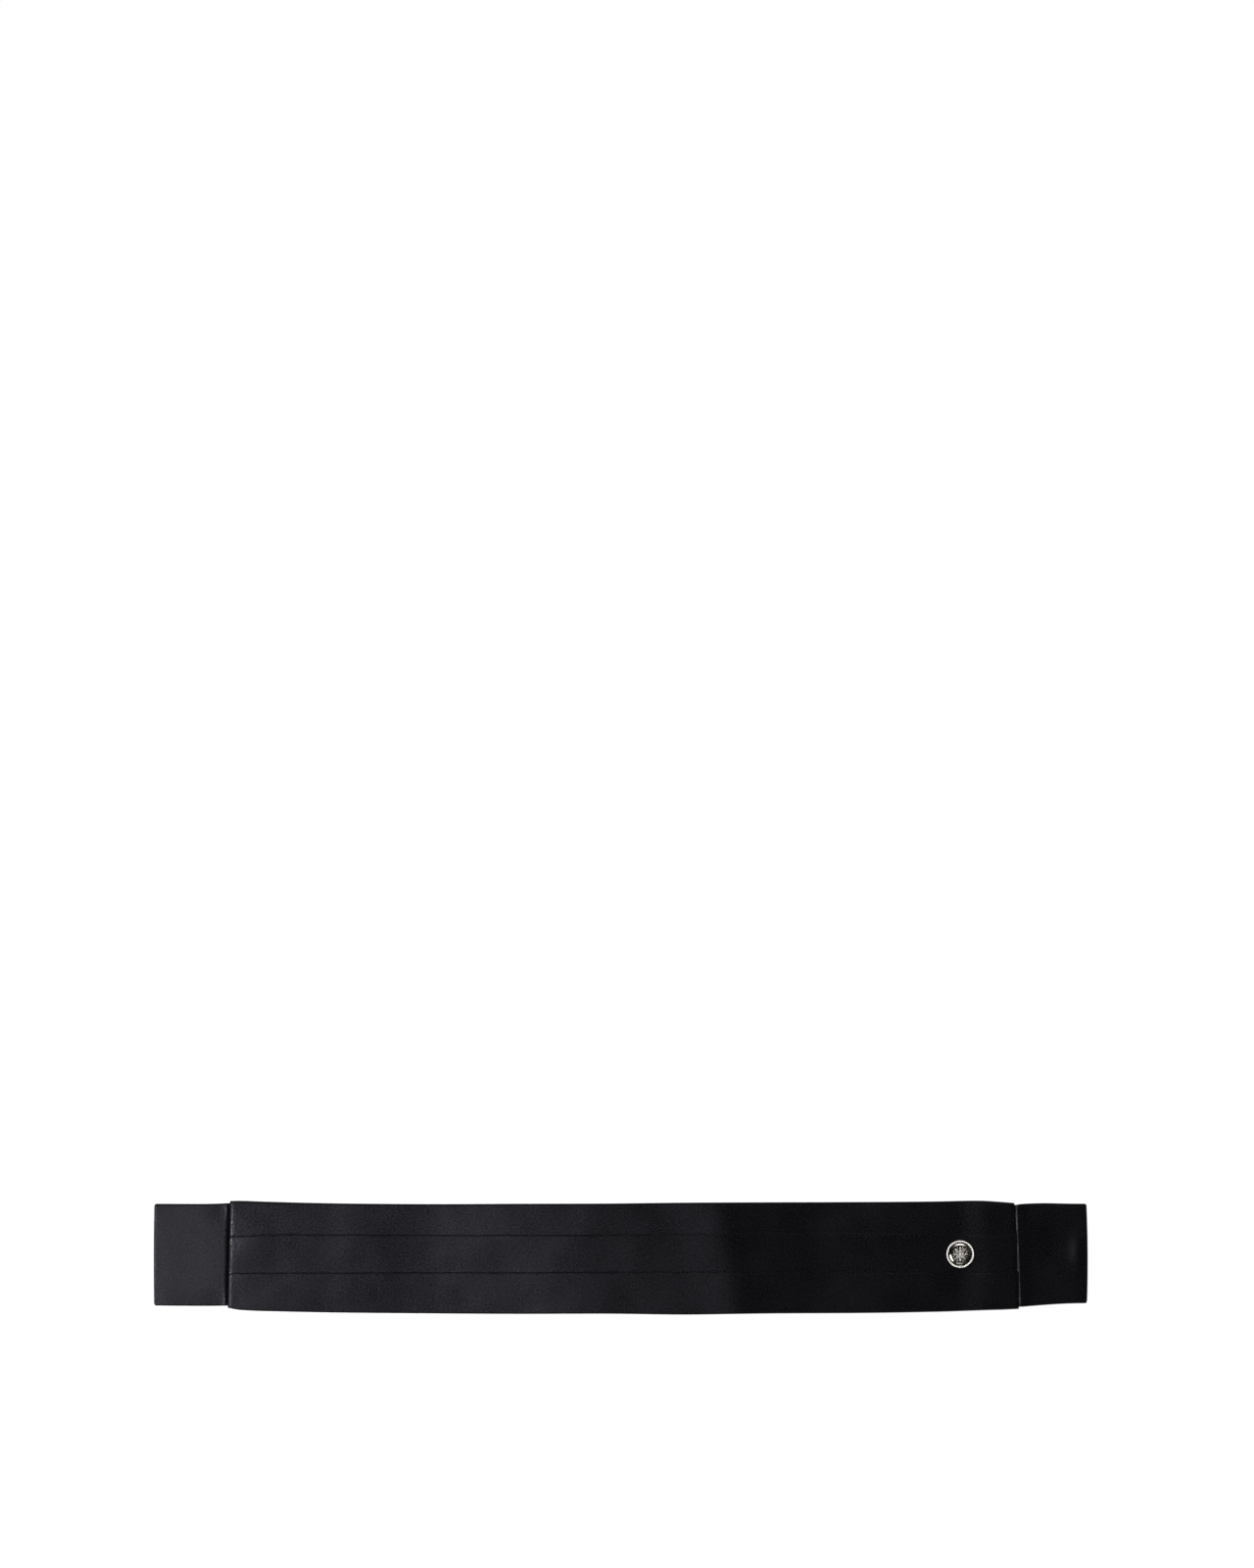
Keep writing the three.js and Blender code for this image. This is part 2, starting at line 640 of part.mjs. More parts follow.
// The cast shell: rim, groove and bezel in one turning, with the rosette raised from its floor and the
// shank and foot that hold it to the cloth.
function buttonShell() {
  const backRadius = buttonRadius * 0.78;
  const side = 0.45 * rimHeight;
  const profile = [
    [0, 0],
    [backRadius, 0],
    [buttonRadius - 0.2 * rimWidth, 0.3 * side],
    [buttonRadius, side],
    [buttonRadius, rimHeight - 0.45 * rimWidth],
    [buttonRadius - 0.2 * rimWidth, rimHeight - 0.12 * rimWidth],
    [buttonRadius - 0.5 * rimWidth, rimHeight],
    [buttonRadius - 0.8 * rimWidth, rimHeight - 0.12 * rimWidth],
    [grooveOuter, rimHeight - 0.45 * rimWidth],
    [grooveOuter, rimHeight - grooveDepth],
    [bezelOuter, rimHeight - grooveDepth],
    [bezelOuter - 0.3 * bezelWidth, bezelHeight - 0.2],
    [bezelOuter - 0.65 * bezelWidth, bezelHeight],
    [enamelSeat, bezelHeight - 0.15],
    [enamelSeat, shellFloor],
    [0, shellFloor],
  ];
  const down = buttonSeat - footBottom;
  const shank = new THREE.CylinderGeometry(shankRadius, shankRadius, down + shankIntoBack, 16);
  shank.rotateX(Math.PI / 2);
  shank.translate(0, 0, (shankIntoBack - down) / 2);
  const foot = new THREE.CylinderGeometry(shankFoot, shankFoot, shankFootThick, 16);
  foot.rotateX(Math.PI / 2);
  foot.translate(0, 0, shankFootThick / 2 - down);
  const relief = rosette(0).intersect(reliefDome());
  return lathe(profile, 40).add(relief).add(solidOf(shank)).add(solidOf(foot));
}

function enamelRing() {
  const profile = [
    [0, enamelBottom],
    [enamelRadius, enamelBottom],
    [enamelRadius, enamelEdgeTop],
    [enamelRadius * 0.55, enamelEdgeTop + enamelCrown * 0.7],
    [0, enamelEdgeTop + enamelCrown],
  ];
  return lathe(profile, 32).subtract(rosette(inlayGap));
}

// The holes that the shank and its foot need in the sleeve.
function shankClearance() {
  const neck = new THREE.CylinderGeometry(shankRadius + pieceGap, shankRadius + pieceGap, 2 * buttonSeat, 16);
  neck.rotateX(Math.PI / 2);
  neck.translate(buttonX, buttonY, footBottom + buttonSeat);
  const room = shankFootThick + 2 * pieceGap;
  const foot = new THREE.CylinderGeometry(shankFoot + pieceGap, shankFoot + pieceGap, room, 16);
  foot.rotateX(Math.PI / 2);
  foot.translate(buttonX, buttonY, footBottom - pieceGap + room / 2);
  return solidOf(neck).add(solidOf(foot));
}

const cummerbund = new THREE.Group();
const sleeve = pleatedSleeve().subtract(shankClearance());
cummerbund.add(named("pleated_panel", geometryOf(sleeve), "satin"));

for (const [name, side] of [["left_band", leftBand], ["right_band", rightBand]]) {
  const band = named(name, bandGeometry(side), "bandSatin");
  band.position.x = side.end;
  cummerbund.add(band);
}

const hook = named("hook", hookGeometry(), "steel");
hook.position.copy(tipOf(leftBand));
const bar = named("bar", barGeometry(), "steel");
bar.position.copy(tipOf(rightBand));
cummerbund.add(hook, bar);

const button = new THREE.Group();
button.position.set(buttonX, buttonY, buttonSeat);
button.add(named("button_shell", geometryOf(buttonShell()), "silver"));
button.add(named("button_enamel", geometryOf(enamelRing()), "enamel"));
cummerbund.add(button);

// The origin is the middle of the footprint, on the surface that it lies on.
const footprint = new THREE.Box3().setFromObject(cummerbund);
const middle = footprint.getCenter(new THREE.Vector3());
cummerbund.position.set(-middle.x, -middle.y, -footprint.min.z);

export default cummerbund;
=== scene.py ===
# A black satin cummerbund with three pleats and one button, lying on its back on a white table.
import bisect
import math
import bmesh
import bpy
from mathutils import Matrix, Vector, noise


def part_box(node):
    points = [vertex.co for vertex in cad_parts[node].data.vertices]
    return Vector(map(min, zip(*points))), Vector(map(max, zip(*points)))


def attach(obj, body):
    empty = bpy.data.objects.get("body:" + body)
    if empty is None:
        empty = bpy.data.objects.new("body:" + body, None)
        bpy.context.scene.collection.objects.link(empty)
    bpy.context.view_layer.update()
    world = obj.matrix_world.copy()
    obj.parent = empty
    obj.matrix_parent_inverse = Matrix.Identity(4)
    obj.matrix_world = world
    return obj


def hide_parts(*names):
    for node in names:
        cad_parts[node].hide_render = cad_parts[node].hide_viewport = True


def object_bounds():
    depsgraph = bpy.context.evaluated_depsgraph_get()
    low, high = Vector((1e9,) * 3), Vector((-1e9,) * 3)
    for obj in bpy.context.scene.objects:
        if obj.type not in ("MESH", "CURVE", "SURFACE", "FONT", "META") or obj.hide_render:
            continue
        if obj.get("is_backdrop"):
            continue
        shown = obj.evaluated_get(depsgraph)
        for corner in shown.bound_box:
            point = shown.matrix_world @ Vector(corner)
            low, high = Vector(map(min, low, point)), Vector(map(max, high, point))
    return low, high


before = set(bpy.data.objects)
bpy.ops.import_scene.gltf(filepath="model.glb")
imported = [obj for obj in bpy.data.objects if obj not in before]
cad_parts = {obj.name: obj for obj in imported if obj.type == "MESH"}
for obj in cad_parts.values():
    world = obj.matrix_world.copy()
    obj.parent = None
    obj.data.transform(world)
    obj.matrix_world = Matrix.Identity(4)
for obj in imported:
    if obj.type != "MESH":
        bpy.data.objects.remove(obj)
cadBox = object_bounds()
print("frame loaded:", ", ".join(sorted(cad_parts)))

mm = 0.001  # every piece is shaped in millimetres, and scaled once to metres

# how the photograph was framed: its size and the sash's middle in pixels, and a long lens
photo = {
    "width": 1280,
    "height": 1600,
    "millimetresAPixel": 0.85,
    "middleX": 633.3,
    "middleY": 1283.2,
    "lens": 300,
    "sensor": 36,
}


def boxOf(node):
    low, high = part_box(node)
    return Vector(low) / mm, Vector(high) / mm


def mix(low, high, share):
    return low + (high - low) * share


def ease(value, low, high):
    share = min(1, max(0, (value - low) / (high - low)))
    return share * share * (3 - 2 * share)


def columnOf(rows, place, column):
    # one smooth curve through a named column of a table
    places = [row[place] for row in rows]
    values = [row[column] for row in rows]
    slopes = []
    for i in range(len(rows)):
        before, after = max(0, i - 1), min(len(rows) - 1, i + 1)
        slopes.append((values[after] - values[before]) / (places[after] - places[before]))

    def at(where):
        i = min(len(rows) - 2, max(0, bisect.bisect_right(places, where) - 1))
        step = places[i + 1] - places[i]
        t = min(1, max(0, (where - places[i]) / step))
        rise = (values[i + 1] - values[i]) * t * t * (3 - 2 * t)
        return values[i] + rise + step * t * (1 - t) * ((1 - t) * slopes[i] - t * slopes[i + 1])

    return at


def swellOf(table, along, across):
    # the sum of the soft dents and swells in a table, in millimetres
    rise = 0
    for row in table:
        far = ((along - row["along"]) / row["long"]) ** 2 + ((across - row["across"]) / row["wide"]) ** 2
        rise += row["rise"] * math.exp(-far)
    return rise


def sweep(name, rings, isClosed, arcs, runs):
    # cloth: one ring of points is drawn as edges, then extruded through all the others
    def wraps(face):
        numbers = [vert[place] for vert in face.verts]
        return isClosed and max(numbers) - min(numbers) > 1

    bm = bmesh.new()
    place = bm.verts.layers.int.new("place")
    station = bm.verts.layers.int.new("station")
    start = [bm.verts.new(point) for point in rings[0]]
    for i, vert in enumerate(start):
        vert[place] = i
    pairs = list(zip(start, start[1:]))
    if isClosed:
        pairs.append((start[-1], start[0]))
    edges = [bm.edges.new(pair) for pair in pairs]
    for number, ring in enumerate(rings[1:], 1):
        made = bmesh.ops.extrude_edge_only(bm, edges=edges)["geom"]
        verts = {item for item in made if isinstance(item, bmesh.types.BMVert)}
        edges = [item for item in made if isinstance(item, bmesh.types.BMEdge)]
        edges = [edge for edge in edges if verts.issuperset(edge.verts)]
        for vert in verts:
            vert.co = ring[vert[place]]
            vert[station] = number
    weave = bm.loops.layers.uv.new("weave")  # the cloth's own flat plan, in metres
    for face in bm.faces:
        closesRing = wraps(face)
        for loop in face.loops:
            i = loop.vert[place]
            arc = arcs[-1] + arcs[1] if closesRing and i == 0 else arcs[i]
            loop[weave].uv = (runs[loop.vert[station]] * mm, arc * mm)
        face.smooth = True
    return finishPiece(name, bm)


def finishPiece(name, bm):
    bmesh.ops.scale(bm, vec=(mm, mm, mm), verts=bm.verts)
    mesh = bpy.data.meshes.new(name)
    bm.to_mesh(mesh)
    bm.free()
    piece = bpy.data.objects.new(name, mesh)
    bpy.context.scene.collection.objects.link(piece)
    return piece


def thicken(piece, thickness):
    solid = piece.modifiers.new("thickness", "SOLIDIFY")
    solid.thickness = thickness * mm
    solid.offset = 0
    solid.use_even_offset = True
    smooth = piece.modifiers.new("smooth", "SUBSURF")
    smooth.levels = smooth.render_levels = 1


def lengthsAlong(points):
    sums = [0]
    for before, after in zip(points, points[1:]):
        sums.append(sums[-1] + (after - before).length)
    return sums


# Materials

def newMaterial(name, color, roughness, metallic=0.0):
    made = bpy.data.materials.new(name)
    made.use_nodes = True
    shader = made.node_tree.nodes["Principled BSDF"]
    shader.inputs["Base Color"].default_value = (*color, 1)
    shader.inputs["Roughness"].default_value = roughness
    shader.inputs["Metallic"].default_value = metallic
    return made, shader, made.node_tree


def addNode(tree, kind, **values):
    node = tree.nodes.new(kind)
    for key, value in values.items():
        if key in node.inputs:
            node.inputs[key].default_value = value
        else:
            setattr(node, key, value)
    return node


def mapRange(tree, source, low, high, atLow, atHigh, kind="LINEAR"):
    made = addNode(tree, "ShaderNodeMapRange", interpolation_type=kind)
    for socket, value in (("From Min", low), ("From Max", high), ("To Min", atLow), ("To Max", atHigh)):
        made.inputs[socket].default_value = value
    tree.links.new(source, made.inputs["Value"])
    return made.outputs["Result"]


def colorRamp(tree, pattern, positions, colors):
    made = addNode(tree, "ShaderNodeValToRGB")
    for element, position, color in zip(made.color_ramp.elements, positions, colors):
        element.position = position
        element.color = (*color, 1)
    tree.links.new(pattern.outputs["Fac"], made.inputs["Fac"])
    return made.outputs["Color"]


satinLook = {
    "darkThread": (0.0015, 0.0015, 0.0021),
    "lightThread": (0.0056, 0.0056, 0.0072),
    "dullTint": (0.6, 0.595, 0.69),  # of the gloss, from thread to thread
    "brightTint": (0.98, 0.96, 1.0),
    "roughness": 0.4,
    "specular": 0.63,
    "sheen": 0.06,
    "sheenRoughness": 0.35,
    "threadScale": 350.31847,  # of the wave texture, about 1100 threads a metre
    "threadWaver": 2.0,
    "threadDepth": 0.000005,
    "floatScale": 183.33333,  # and about 300 slanting floats
    "floatWaver": 1.0,
    "floatShare": 0.5,  # how much the floats add to the threads
    "speckleAMetre": 420,  # the uneven silk
    "speckleDepth": 0.00011,
    "glintAMetre": 900,  # where single threads are duller or shinier
    "glintSpread": 0.13,
    "glintEdges": (0.5, 0.8),
    "slubsAMetre": 700,  # where the yarn itself is darker or lighter
    "slubEdges": (0.44, 0.72),
    "cloudsAMetre": 26,
    "cloudShare": 0.3,
}


def satinMaterial(name, look):
    made, shader, tree = newMaterial(name, look["darkThread"], look["roughness"])
    shader.inputs["Specular IOR Level"].default_value = look["specular"]
    shader.inputs["Sheen Weight"].default_value = look["sheen"]
    shader.inputs["Sheen Roughness"].default_value = look["sheenRoughness"]
    link = tree.links.new
    plan = addNode(tree, "ShaderNodeUVMap", uv_map="weave").outputs["UV"]

    threads = addNode(tree, "ShaderNodeTexWave", wave_type="BANDS", bands_direction="Y")
    threads.inputs["Scale"].default_value = look["threadScale"]
    threads.inputs["Distortion"].default_value = look["threadWaver"]
    threads.inputs["Detail"].default_value = 1.0
    floats = addNode(tree, "ShaderNodeTexWave", wave_type="BANDS", bands_direction="DIAGONAL")
    floats.inputs["Scale"].default_value = look["floatScale"]
    floats.inputs["Distortion"].default_value = look["floatWaver"]
    speckle = addNode(tree, "ShaderNodeTexNoise", Scale=look["speckleAMetre"], Detail=0.0)
    clouds = addNode(tree, "ShaderNodeTexNoise", Scale=look["cloudsAMetre"], Detail=2.0)
    for pattern in (threads, floats, speckle, clouds):
        link(plan, pattern.inputs["Vector"])

    woven = addNode(tree, "ShaderNodeMath", operation="MULTIPLY_ADD")
    woven.inputs[1].default_value = look["floatShare"]
    link(floats.outputs["Fac"], woven.inputs[0])
    link(threads.outputs["Fac"], woven.inputs[2])
    fine = addNode(tree, "ShaderNodeBump", Strength=1.0, Distance=look["threadDepth"])
    link(woven.outputs[0], fine.inputs["Height"])
    coarse = addNode(tree, "ShaderNodeBump", Strength=1.0, Distance=look["speckleDepth"])
    link(speckle.outputs["Fac"], coarse.inputs["Height"])
    link(fine.outputs["Normal"], coarse.inputs["Normal"])
    link(coarse.outputs["Normal"], shader.inputs["Normal"])

    glints = addNode(tree, "ShaderNodeTexNoise", Scale=look["glintAMetre"], Detail=1.0)
    link(plan, glints.inputs["Vector"])
    uneven = addNode(tree, "ShaderNodeMath", operation="MULTIPLY_ADD")
    uneven.inputs[1].default_value = look["cloudShare"]
    link(clouds.outputs["Fac"], uneven.inputs[0])
    link(glints.outputs["Fac"], uneven.inputs[2])
    shiny, dull = look["roughness"] - look["glintSpread"], look["roughness"] + look["glintSpread"]
    link(mapRange(tree, uneven.outputs[0], *look["glintEdges"], shiny, dull), shader.inputs["Roughness"])

    slubs = addNode(tree, "ShaderNodeTexNoise", Scale=look["slubsAMetre"], Detail=1.0)
    link(plan, slubs.inputs["Vector"])
    yarn = colorRamp(tree, slubs, look["slubEdges"], (look["darkThread"], look["lightThread"]))
    link(yarn, shader.inputs["Base Color"])
    tint = colorRamp(tree, slubs, look["slubEdges"], (look["dullTint"], look["brightTint"]))
    link(tint, shader.inputs["Specular Tint"])
    return made


# worn surfaces: a fine pattern in the gloss and in the height, and a colour that dulls in soft clouds
wornEdges = {"pattern": (0.3, 0.7), "clouds": (0.35, 0.6)}
silverLook = {
    "bright": (0.9, 0.87, 0.82),
    "dull": (0.78, 0.74, 0.68),
    "metallic": 1.0,
    "gloss": (0.08, 0.16),
    "patternAMetre": 2600,
    "stretch": (1, 1, 1),
    "depth": 0.000003,
    "cloudsAMetre": 420,
}
enamelLook = {
    "bright": (0.0075, 0.0075, 0.0085),
    "dull": (0.005, 0.005, 0.0055),
    "metallic": 0.0,
    "gloss": (0.08, 0.18),
    "patternAMetre": 900,
    "stretch": (1, 1, 1),
    "depth": 0.000008,
    "cloudsAMetre": 300,
}
claspLook = {
    "bright": (0.56, 0.56, 0.58),
    "dull": (0.4, 0.4, 0.42),
    "metallic": 1.0,
    "gloss": (0.22, 0.42),
    "patternAMetre": 900,
    "stretch": (0.06, 3, 3),  # brushed along the cloth
    "depth": 0.000012,
    "cloudsAMetre": 160,
}


def wornMaterial(name, look):
    made, shader, tree = newMaterial(name, look["bright"], look["gloss"][0], look["metallic"])
    link = tree.links.new
    place = addNode(tree, "ShaderNodeTexCoord").outputs["Object"]
    grain = addNode(tree, "ShaderNodeMapping")
    grain.inputs["Scale"].default_value = look["stretch"]
    link(place, grain.inputs["Vector"])
    pattern = addNode(tree, "ShaderNodeTexNoise", Scale=look["patternAMetre"], Detail=3.0)
    link(grain.outputs["Vector"], pattern.inputs["Vector"])
    clouds = addNode(tree, "ShaderNodeTexNoise", Scale=look["cloudsAMetre"], Detail=2.0)
    link(place, clouds.inputs["Vector"])

    gloss = mapRange(tree, pattern.outputs["Fac"], *wornEdges["pattern"], *look["gloss"])
    link(gloss, shader.inputs["Roughness"])
    color = colorRamp(tree, clouds, wornEdges["clouds"], (look["dull"], look["bright"]))
    link(color, shader.inputs["Base Color"])
    bump = addNode(tree, "ShaderNodeBump", Strength=1.0, Distance=look["depth"])
    link(pattern.outputs["Fac"], bump.inputs["Height"])
    link(bump.outputs["Normal"], shader.inputs["Normal"])
    return made


claspEdges = {"merge": 0.00001, "width": 0.00008, "angle": 40}


def dressNode(node, material):
    # the clasp's solids stay as they are, with a finish of their own and their edges broken
    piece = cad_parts[node]
    piece.data.materials.clear()
    piece.data.materials.append(material)
    weld = piece.modifiers.new("weld", "WELD")
    weld.merge_threshold = claspEdges["merge"]
    edges = piece.modifiers.new("edges", "BEVEL")
    edges.width = claspEdges["width"]
    edges.segments = 2
    edges.limit_method = "ANGLE"
    edges.angle_limit = math.radians(claspEdges["angle"])


# Pleated panel

# each band's length past the panel and back beneath it, and how far its clasp lies on and past its tip
leftBand = {"reach": 65, "returns": 88, "tipWidth": 60, "sign": -1, "claspOn": 12, "claspPast": 6}
rightBand = {"reach": 61, "returns": 88, "tipWidth": 60, "sign": 1, "claspOn": 4.5, "claspPast": 4.5}

panel = {
    "topPleat": 27,
    "middlePleat": 32.5,
    "bottomPleat": 36.5,
    "pleatDepth": 12,
    "cloth": 0.8,
    "wall": 1.0,  # of the solid sleeve
    "layerPitch": 1.0,
    "seamPitch": 0.84,  # the layers pressed together in the end seams
    "seamEases": (2, 14),  # distances from each end between which they come apart
    "hollow": 0.5,  # free height inside the sleeve
    "openHollow": 2.4,  # and where a band is inside it
    "bandInsert": 14,
    "edgeRound": 1.1,
    "lipLength": 3.8,  # length over which each end rolls down
    "lipDrop": 1.0,
    "foldPress": 3.0,  # width over which a pleat's folded edge is rounded
    "foldDrop": 0.25,
    "endLift": 1.5,  # the panel's back above the table, over a band
    "leftTipLift": 2.3,  # and over the hook
    "rightTipLift": 2.4,  # and over the bar
    "liftMargin": 5,
    "settle": 85,  # length over which the panel sinks to the table again
    "leftCloses": (14.5, 95),  # distances from each end between which the sleeve closes
    "rightCloses": (21, 52),
    "stationStep": 5.0,
    "ripple": 0.4,
    "rippleLength": 38,
    "rippleAcross": 1.3,  # ripples are shorter across the cloth
    "finerRipple": (2.1, 0.4),  # how much finer, and how high beside the first
}
panelHeight = panel["topPleat"] + panel["middlePleat"] + panel["bottomPleat"]

panelRows = [
    dict(along=0.0, top=0.024, upper=-0.015, lower=-0.011, bottom=0.055, lean=0.022),
    dict(along=0.012, top=0.026, upper=-0.013, lower=-0.008, bottom=0.038, lean=0.018),
    dict(along=0.03, top=0.022, upper=-0.006, lower=-0.005, bottom=0.029, lean=0.01),
    dict(along=0.06, top=0.015, upper=0.003, lower=-0.004, bottom=0.023, lean=0.004),
    dict(along=0.13, top=0.003, upper=0.002, lower=-0.004, bottom=0.013, lean=0),
    dict(along=0.25, top=-0.005, upper=-0.004, lower=-0.003, bottom=0.004, lean=0),
    dict(along=0.37, top=-0.002, upper=-0.004, lower=-0.003, bottom=-0.001, lean=0),
    dict(along=0.48, top=0.0, upper=-0.003, lower=0.002, bottom=0.001, lean=0),
    dict(along=0.58, top=0.008, upper=0.004, lower=0.004, bottom=-0.007, lean=0),
    dict(along=0.68, top=0.011, upper=0.014, lower=0.004, bottom=0.003, lean=0),
    dict(along=0.8, top=0.014, upper=0.016, lower=0.004, bottom=0.008, lean=0),
    dict(along=0.9, top=0.02, upper=0.012, lower=0.004, bottom=0.02, lean=-0.004),
    dict(along=0.955, top=0.027, upper=0.006, lower=0.004, bottom=0.033, lean=-0.016),
    dict(along=0.985, top=0.015, upper=0.0, lower=0.0, bottom=0.04, lean=-0.032),
    dict(along=1.0, top=0.006, upper=0.0, lower=0.0, bottom=0.046, lean=-0.042),
]

# swells of the front: middles and sizes as shares of the panel's length and height, rises in millimetres
panelSwells = [
    dict(along=0.33, across=0.36, rise=0.5, long=0.05, wide=0.2),
    dict(along=0.13, across=-0.3, rise=0.3, long=0.05, wide=0.2),
    dict(along=0.55, across=-0.1, rise=0.25, long=0.06, wide=0.3),
    dict(along=0.76, across=0.3, rise=0.3, long=0.04, wide=0.2),
    dict(along=0.955, across=0.3, rise=0.5, long=0.02, wide=0.25),
]

leftEnd = boxOf("left_band")[0].x + leftBand["reach"]
rightEnd = boxOf("right_band")[1].x - rightBand["reach"]
panelLength = rightEnd - leftEnd
curveNames = ("top", "upper", "lower", "bottom", "lean")
panelCurves = {name: columnOf(panelRows, "along", name) for name in curveNames}

shares = [i / 400 for i in range(401)]
highest = max(panelCurves["top"](share) for share in shares) * panelHeight
lowest = min(panelCurves["bottom"](share) for share in shares) * panelHeight
panelLow, panelHigh = boxOf("pleated_panel")
panelMiddle = (panelLow.y + panelHigh.y) / 2 - (highest + lowest) / 2


def liftBeside(distance, band, tipLift):
    margin = panel["liftMargin"]
    clear = band["returns"] + band["claspPast"] + margin
    risen = ease(distance, panel["bandInsert"] + margin, band["returns"] - band["claspOn"] - margin / 2)
    return mix(panel["endLift"], tipLift, risen) * (1 - ease(distance, clear, clear + panel["settle"]))


def liftAt(x):
    left = liftBeside(x - leftEnd, leftBand, panel["leftTipLift"])
    right = liftBeside(rightEnd - x, rightBand, panel["rightTipLift"])
    return max(left, right)


def hollowAt(x):
    fromEnd = max(0, min(x - leftEnd, rightEnd - x))
    closes = panel["leftCloses"] if x < 0 else panel["rightCloses"]
    inner = ease(fromEnd, *closes)
    rolled = 1 - min(1, fromEnd / panel["lipLength"])
    dropped = panel["lipDrop"] * (1 - math.sqrt(1 - rolled ** 2))
    return mix(panel["openHollow"], panel["hollow"], inner) - dropped


def sectionAt(x):
    along = (x - leftEnd) / panelLength
    half = panelHeight / 2
    swell = {name: curve(along) * panelHeight for name, curve in panelCurves.items()}
    back = liftAt(x) + panel["cloth"] / 2
    first = liftAt(x) + 2 * panel["wall"] + hollowAt(x) - panel["cloth"] / 2
    fromEnd = min(x - leftEnd, rightEnd - x)
    pitch = mix(panel["seamPitch"], panel["layerPitch"], ease(fromEnd, *panel["seamEases"]))
    return {
        "along": along,
        "lean": panelCurves["lean"](along),
        "top": half + swell["top"],
        "upper": half - panel["topPleat"] + swell["upper"],
        "lower": half - panel["topPleat"] - panel["middlePleat"] + swell["lower"],
        "bottom": -half + swell["bottom"],
        "back": back,
        "levels": [first + i * pitch for i in range(3)],
    }


def turn(y, z, reachY, reachZ, start, end, steps):
    angles = [mix(start, end, i / steps) for i in range(steps + 1)]
    return [(y + reachY * math.cos(a), z + reachZ * math.sin(a)) for a in angles]


def pleatPath(fold, levels, shows, steps):
    # round the hidden fold, round the edge that shows, and down the pleat's face
    half = math.pi / 2
    cloth, radius = panel["cloth"], (levels[1] - levels[0]) / 2
    tucked = fold - panel["pleatDepth"] + cloth / 2 + radius
    edge = fold - cloth / 2 - radius
    shownTo = shows - cloth
    face = []
    nearEdge, firstStep = [0.5, 1.1, 1.8, 2.8, 4.5], 7
    for down in nearEdge + [mix(firstStep, shownTo, i / steps) for i in range(steps + 1)]:
        soft = max(0, 1 - down / panel["foldPress"]) ** 2 * panel["foldDrop"]
        face.append((edge - down, mix(levels[2], levels[0], down / shownTo) - soft))
    top = levels[2] - panel["foldDrop"]
    upperTurn = turn(edge, (levels[1] + top) / 2, radius, (top - levels[1]) / 2, -half, half, 6)
    return turn(tucked, levels[0] + radius, radius, radius, -half, -3 * half, 5) + upperTurn + face


def panelRing(x):
    # the middle of the cloth, all the way round the sleeve
    s = sectionAt(x)
    half = math.pi / 2
    first = s["levels"][0]
    middle, deep = (s["back"] + first) / 2, (first - s["back"]) / 2
    topTurn = s["top"] - panel["cloth"] / 2 - panel["edgeRound"]
    bottomTurn = s["bottom"] + panel["cloth"] / 2 + panel["edgeRound"]
    path = [(mix(bottomTurn, topTurn, i / 9), s["back"]) for i in range(1, 9)]
    path += turn(topTurn, middle, panel["edgeRound"], deep, -half, half, 6)
    path += [(mix(topTurn, s["upper"], i / 6), first) for i in range(1, 6)]
    path += pleatPath(s["upper"], s["levels"], s["upper"] - s["lower"], 5)
    lastShows = s["lower"] - s["bottom"] - panel["edgeRound"] - panel["wall"]
    path += pleatPath(s["lower"], s["levels"], lastShows, 5)
    path += turn(bottomTurn, middle, panel["edgeRound"], deep, half, 3 * half, 6)
    ring = []
    finer, lower = panel["finerRipple"]
    for y, z in path:
        across = y / panelHeight
        raised = min(1, max(0, (z - s["back"]) / (first - s["back"])))
        spot = Vector((x, y * panel["rippleAcross"], 0)) / panel["rippleLength"]
        ripple = panel["ripple"] * (noise.noise(spot) + lower * noise.noise(spot * finer))
        z += raised * (swellOf(panelSwells, s["along"], across) + ripple)
        ring.append(Vector((x + s["lean"] * y, y + panelMiddle, z)))
    return ring


def panelStations():
    # close together where the ends roll down
    lipShares = (0, 0.02, 0.07, 0.15, 0.28, 0.45, 0.7, 1, 1.4, 2.1)
    ends = [share * panel["lipLength"] for share in lipShares]
    inner = panelLength - 2 * ends[-1]
    steps = round(inner / panel["stationStep"])
    middle = [leftEnd + ends[-1] + inner * i / steps for i in range(1, steps)]
    return [leftEnd + d for d in ends] + middle + [rightEnd - d for d in reversed(ends)]


def makePanel():
    stations = panelStations()
    rings = [panelRing(x) for x in stations]
    arcs = lengthsAlong(panelRing((leftEnd + rightEnd) / 2))
    piece = sweep("satinPanel", rings, True, arcs, stations)
    thicken(piece, panel["cloth"])
    piece.data.materials.append(satin)
    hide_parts("pleated_panel")
    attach(piece, "root")
    print("panel:", len(stations), "stations,", round(arcs[-1]), "mm of cloth round it")
    return piece, arcs[-1] * mm


# Bands, folded back beneath the panel

bands = {
    "cloth": 1.1,
    "edge": 0.8,  # from a band's edge to the inside of the panel's edge
    "offTable": 0.05,
    "shortOfTip": 0.4,
    "ridgeStep": 0.4,  # between the rings near the panel
    "ridgeRings": 11,
    "ridgeClear": 5.4,
    "foldInside": 1.3,
    "foldSlope": 0.2,  # how steeply the top ply runs into its fold
    "foldCorner": 0.9,
    "foldFlare": 0.35,
    "flareStarts": (0.9, 0.99),  # shares of the length past the panel
    "swellStarts": (0, 0.08),
    "swellEnds": (0.88, 0.98),
    "leanEnds": 1 / 3,
    "bowStarts": 20,
    "bowMiddle": -0.08,  # shares of the width
    "bowHalf": 0.56,
    "across": 31,
}

